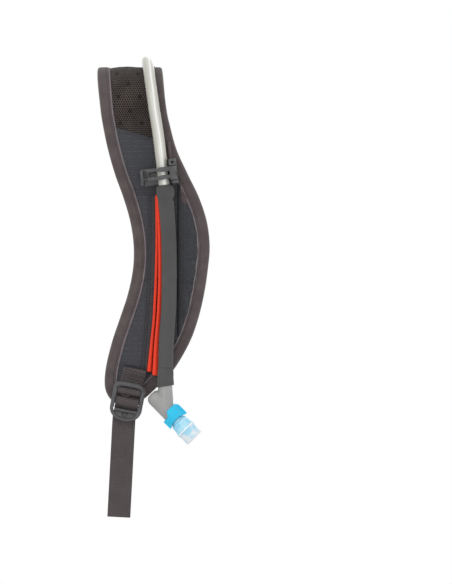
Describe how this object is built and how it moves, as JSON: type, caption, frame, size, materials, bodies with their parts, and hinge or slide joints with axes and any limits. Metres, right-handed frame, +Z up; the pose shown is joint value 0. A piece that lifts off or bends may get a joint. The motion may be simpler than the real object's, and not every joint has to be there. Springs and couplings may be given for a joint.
{
  "type": "hydration pack shoulder strap with drinking tube",
  "caption": "Padded shoulder strap of a hydration pack with a drinking tube in a magnet-docked sleeve, a bite valve, a sliding tube clip and a ladder-lock buckle.",
  "frame": {"origin": "centre of the foam's sewn end face at the yoke, which faces down behind the shoulder", "axes": "+Z up as worn; the strap's front and the tube face -Y; +X is to the right of somebody who looks at the front, from the armpit side to the chest side"},
  "size_m": [0.0968, 0.142, 0.3985],
  "materials": {
    "binding": "brown-charcoal woven edge tape",
    "air_mesh": "open hexagonal air mesh over dark foam",
    "ripstop": "blue-grey ripstop nylon with a fine grid",
    "foam": "closed-cell foam",
    "stretch": "gathered stretch-woven fabric",
    "piping_red": "orange-red woven piping",
    "magnet": "plated magnet",
    "pin": "bright steel",
    "tube": "milky translucent polyurethane",
    "sleeve": "matte charcoal knit",
    "hard_black": "moulded acetal, satin",
    "webbing": "brown-charcoal herringbone webbing",
    "elbow": "grey moulded plastic, satin",
    "collar": "cyan moulded plastic",
    "silicone": "clear blue-white silicone",
    "black_rubber": "black rubber"
  },
  "bodies": {
    "strap": {"foam_core": "foam", "back_mesh_lining": "air_mesh", "edge_binding": "binding", "mesh_panel": "air_mesh", "ripstop_upper": "ripstop", "ripstop_middle": "ripstop", "ripstop_lower": "ripstop", "tip_panel": "ripstop", "stretch_pocket": "stretch", "pocket_hem": "sleeve", "piping_rail": "binding", "dock_strip": "ripstop", "strap_piping": "piping_red", "strap_magnet_1": "magnet", "strap_magnet_2": "magnet", "strap_magnet_3": "magnet", "strap_magnet_4": "magnet", "anchor_webbing": "webbing", "hose_keeper_1": "webbing", "hose_keeper_2": "webbing", "tube_strap_run": "tube", "sleeve_top": "sleeve", "tube_free_lead": "tube", "quick_plug": "hard_black", "plug_oring": "black_rubber", "hose_tie": "black_rubber"},
    "slider": {"slider_base": "hard_black", "clip_pin": "pin"},
    "gate": {"clip_gate": "hard_black"},
    "hose_1": {"sleeve_1": "sleeve", "tube_1": "tube", "sleeve_piping_1": "piping_red"},
    "hose_2": {"sleeve_2": "sleeve", "tube_2": "tube", "sleeve_piping_2": "piping_red", "sleeve_magnet_1": "magnet"},
    "hose_3": {"sleeve_3": "sleeve", "tube_3": "tube", "sleeve_piping_3": "piping_red", "sleeve_magnet_2": "magnet"},
    "hose_4": {"sleeve_4": "sleeve", "tube_4": "tube", "sleeve_piping_4": "piping_red", "sleeve_magnet_3": "magnet"},
    "hose_5": {"sleeve_5": "sleeve", "tube_5": "tube", "sleeve_piping_5": "piping_red", "sleeve_magnet_4": "magnet"},
    "elbow": {"elbow_body": "elbow", "elbow_oring": "black_rubber"},
    "valve": {"twist_collar": "collar", "valve_core": "collar", "bite_valve": "silicone"},
    "buckle": {"ladder_buckle": "hard_black", "adjust_webbing": "webbing"},
    "webbing": {"webbing_tail": "webbing", "webbing_load": "webbing"}
  },
  "joints": [
    {"name": "slider_slide", "type": "slide", "parent": "strap", "child": "slider", "axis": [-0.1149, 0, 0.9934], "range_m": [0, 0.012]},
    {"name": "gate_hinge", "type": "hinge", "parent": "slider", "child": "gate", "pos_m": [0.02034, -0.0852, -0.00944], "axis": [-0.1149, 0, 0.9934], "range_deg": [0, 100]},
    {"name": "hose_swing_1", "type": "hinge", "parent": "strap", "child": "hose_1", "pos_m": [0.01334, -0.0788, -0.0305], "axis": [0, -0.9781, -0.2079], "range_deg": [0, 30], "stiffness_Nm_per_rad": 0.05},
    {"name": "hose_swing_2", "type": "hinge", "parent": "hose_1", "child": "hose_2", "pos_m": [0.01575, -0.0788, -0.0615], "axis": [0, -0.9781, -0.2079], "range_deg": [0, 15]},
    {"name": "hose_swing_3", "type": "hinge", "parent": "hose_2", "child": "hose_3", "pos_m": [0.01639, -0.0788, -0.0915], "axis": [0, -0.9781, -0.2079], "range_deg": [0, 12]},
    {"name": "hose_swing_4", "type": "hinge", "parent": "hose_3", "child": "hose_4", "pos_m": [0.01611, -0.0788, -0.1215], "axis": [0, -0.9781, -0.2079], "range_deg": [0, 10]},
    {"name": "hose_swing_5", "type": "hinge", "parent": "hose_4", "child": "hose_5", "pos_m": [0.01411, -0.0788, -0.1515], "axis": [0, -0.9781, -0.2079], "range_deg": [0, 8]},
    {"name": "elbow_swivel", "type": "hinge", "parent": "hose_5", "child": "elbow", "pos_m": [0.0132, -0.0788, -0.1925], "axis": [0, 0, 1], "range_deg": [-60, 60]},
    {"name": "valve_twist", "type": "hinge", "parent": "elbow", "child": "valve", "pos_m": [0.0132, -0.0788, -0.2115], "axis": [0.6997, 0, -0.7145], "range_deg": [0, 90]},
    {"name": "buckle_tilt", "type": "hinge", "parent": "strap", "child": "buckle", "pos_m": [-0.01779, -0.0745, -0.19717], "axis": [-0.9816, 0, 0.1908], "range_deg": [0, 15]},
    {"name": "webbing_hang", "type": "hinge", "parent": "buckle", "child": "webbing", "pos_m": [-0.02227, -0.0704, -0.22024], "axis": [-0.9816, 0, 0.1908], "range_deg": [-15, 0]}
  ],
  "couplings": [
    {"joint": "hose_swing_2", "follows": "hose_swing_1", "ratio": 0.5},
    {"joint": "hose_swing_3", "follows": "hose_swing_1", "ratio": 0.4},
    {"joint": "hose_swing_4", "follows": "hose_swing_1", "ratio": 0.33333},
    {"joint": "hose_swing_5", "follows": "hose_swing_1", "ratio": 0.26667},
    {"joint": "webbing_hang", "follows": "buckle_tilt", "ratio": -1}
  ]
}
